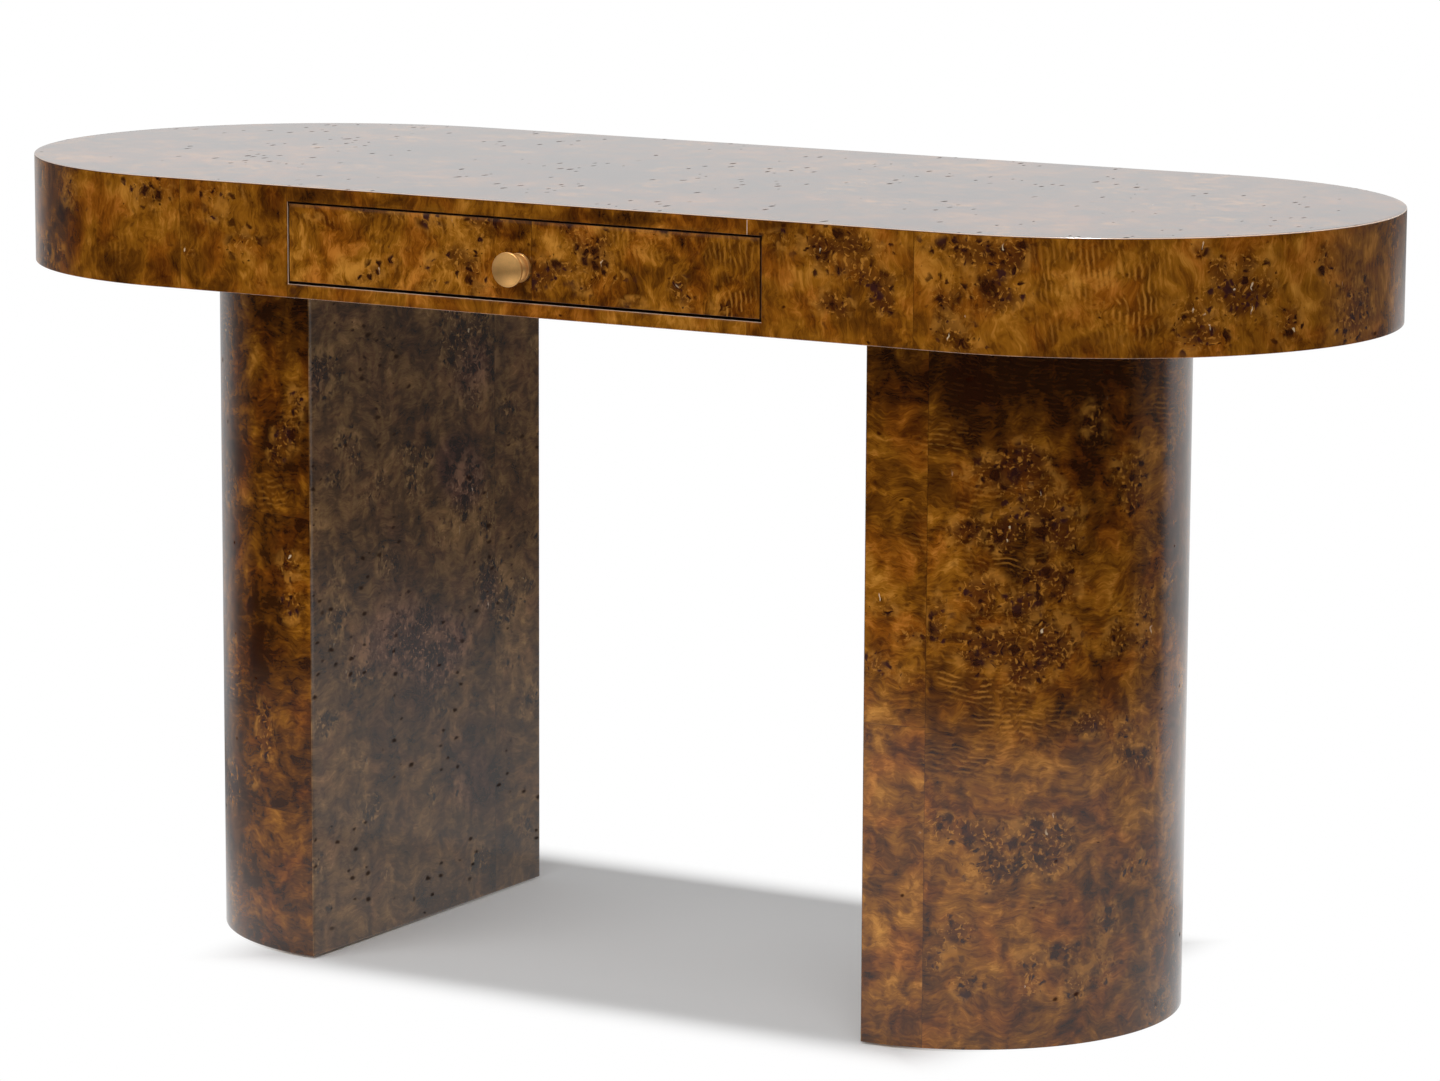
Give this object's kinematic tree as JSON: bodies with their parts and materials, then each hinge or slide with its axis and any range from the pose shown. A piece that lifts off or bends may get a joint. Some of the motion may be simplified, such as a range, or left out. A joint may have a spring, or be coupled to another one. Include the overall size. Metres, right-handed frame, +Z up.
{
  "type": "computer desk",
  "caption": "Racetrack-shaped desk in dark burl veneer on half-round pedestal legs, with a flush drawer that opens forward on ball-bearing slides.",
  "frame": {"origin": "on the floor, midway along the desk and midway between the knob's tip and the back", "axes": "+X along the desk to the right seen from the front, +Y from front to back, +Z up"},
  "size_m": [1.42, 0.597, 0.762],
  "materials": {
    "burl_veneer": "gloss lacquer",
    "board_core": "raw fibreboard",
    "sealed_board": "satin sealer",
    "bent_ply": "raw plywood",
    "drawer_birch": "satin lacquer",
    "slide_steel": "zinc plated",
    "ball_steel": "polished",
    "fastener_steel": "zinc plated",
    "knob_brass": "satin",
    "bumper_rubber": "matt",
    "glide_nylon": "matt"
  },
  "bodies": {
    "desk": {"apron_veneer": "burl_veneer", "back_rail": "board_core", "front_left_rail": "board_core", "front_right_rail": "board_core", "left_cross_rib": "board_core", "left_divider": "board_core", "left_end_band": "bent_ply", "left_leg_base_block": "board_core", "left_leg_battens": "board_core", "left_leg_bolts": "fastener_steel", "left_leg_curved_veneer": "burl_veneer", "left_leg_flat_veneer": "burl_veneer", "left_leg_glides": "glide_nylon", "left_leg_panel": "board_core", "left_leg_shell": "bent_ply", "left_leg_tee_nuts": "fastener_steel", "left_leg_top_block": "board_core", "left_leg_washers": "fastener_steel", "left_outer_slide": "slide_steel", "outer_slide_screws": "fastener_steel", "right_cross_rib": "board_core", "right_divider": "board_core", "right_end_band": "bent_ply", "right_leg_base_block": "board_core", "right_leg_battens": "board_core", "right_leg_bolts": "fastener_steel", "right_leg_curved_veneer": "burl_veneer", "right_leg_flat_veneer": "burl_veneer", "right_leg_glides": "glide_nylon", "right_leg_panel": "board_core", "right_leg_shell": "bent_ply", "right_leg_tee_nuts": "fastener_steel", "right_leg_top_block": "board_core", "right_leg_washers": "fastener_steel", "right_outer_slide": "slide_steel", "slide_bumpers": "bumper_rubber", "top_panel": "board_core", "underside_panel": "sealed_board", "worktop_veneer": "burl_veneer"},
    "drawer": {"drawer_face_veneer": "burl_veneer", "drawer_face": "board_core", "drawer_sub_front": "drawer_birch", "drawer_left_side": "drawer_birch", "drawer_right_side": "drawer_birch", "drawer_back": "drawer_birch", "drawer_bottom": "drawer_birch", "drawer_face_screws": "fastener_steel", "knob": "knob_brass", "knob_screw": "fastener_steel", "left_inner_slide": "slide_steel", "right_inner_slide": "slide_steel", "inner_slide_screws": "fastener_steel"},
    "left_cage": {"left_ball_cage": "slide_steel", "left_cage_balls": "ball_steel"},
    "right_cage": {"right_ball_cage": "slide_steel", "right_cage_balls": "ball_steel"}
  },
  "joints": [
    {"name": "drawer_slide", "type": "slide", "parent": "desk", "child": "drawer", "axis": [0, -1, 0], "range_m": [0, 0.28]},
    {"name": "left_cage_roll", "type": "slide", "parent": "desk", "child": "left_cage", "axis": [0, -1, 0], "range_m": [0, 0.14]},
    {"name": "right_cage_roll", "type": "slide", "parent": "desk", "child": "right_cage", "axis": [0, -1, 0], "range_m": [0, 0.14]}
  ],
  "couplings": [
    {"joint": "left_cage_roll", "follows": "drawer_slide", "ratio": 0.5},
    {"joint": "right_cage_roll", "follows": "drawer_slide", "ratio": 0.5}
  ]
}
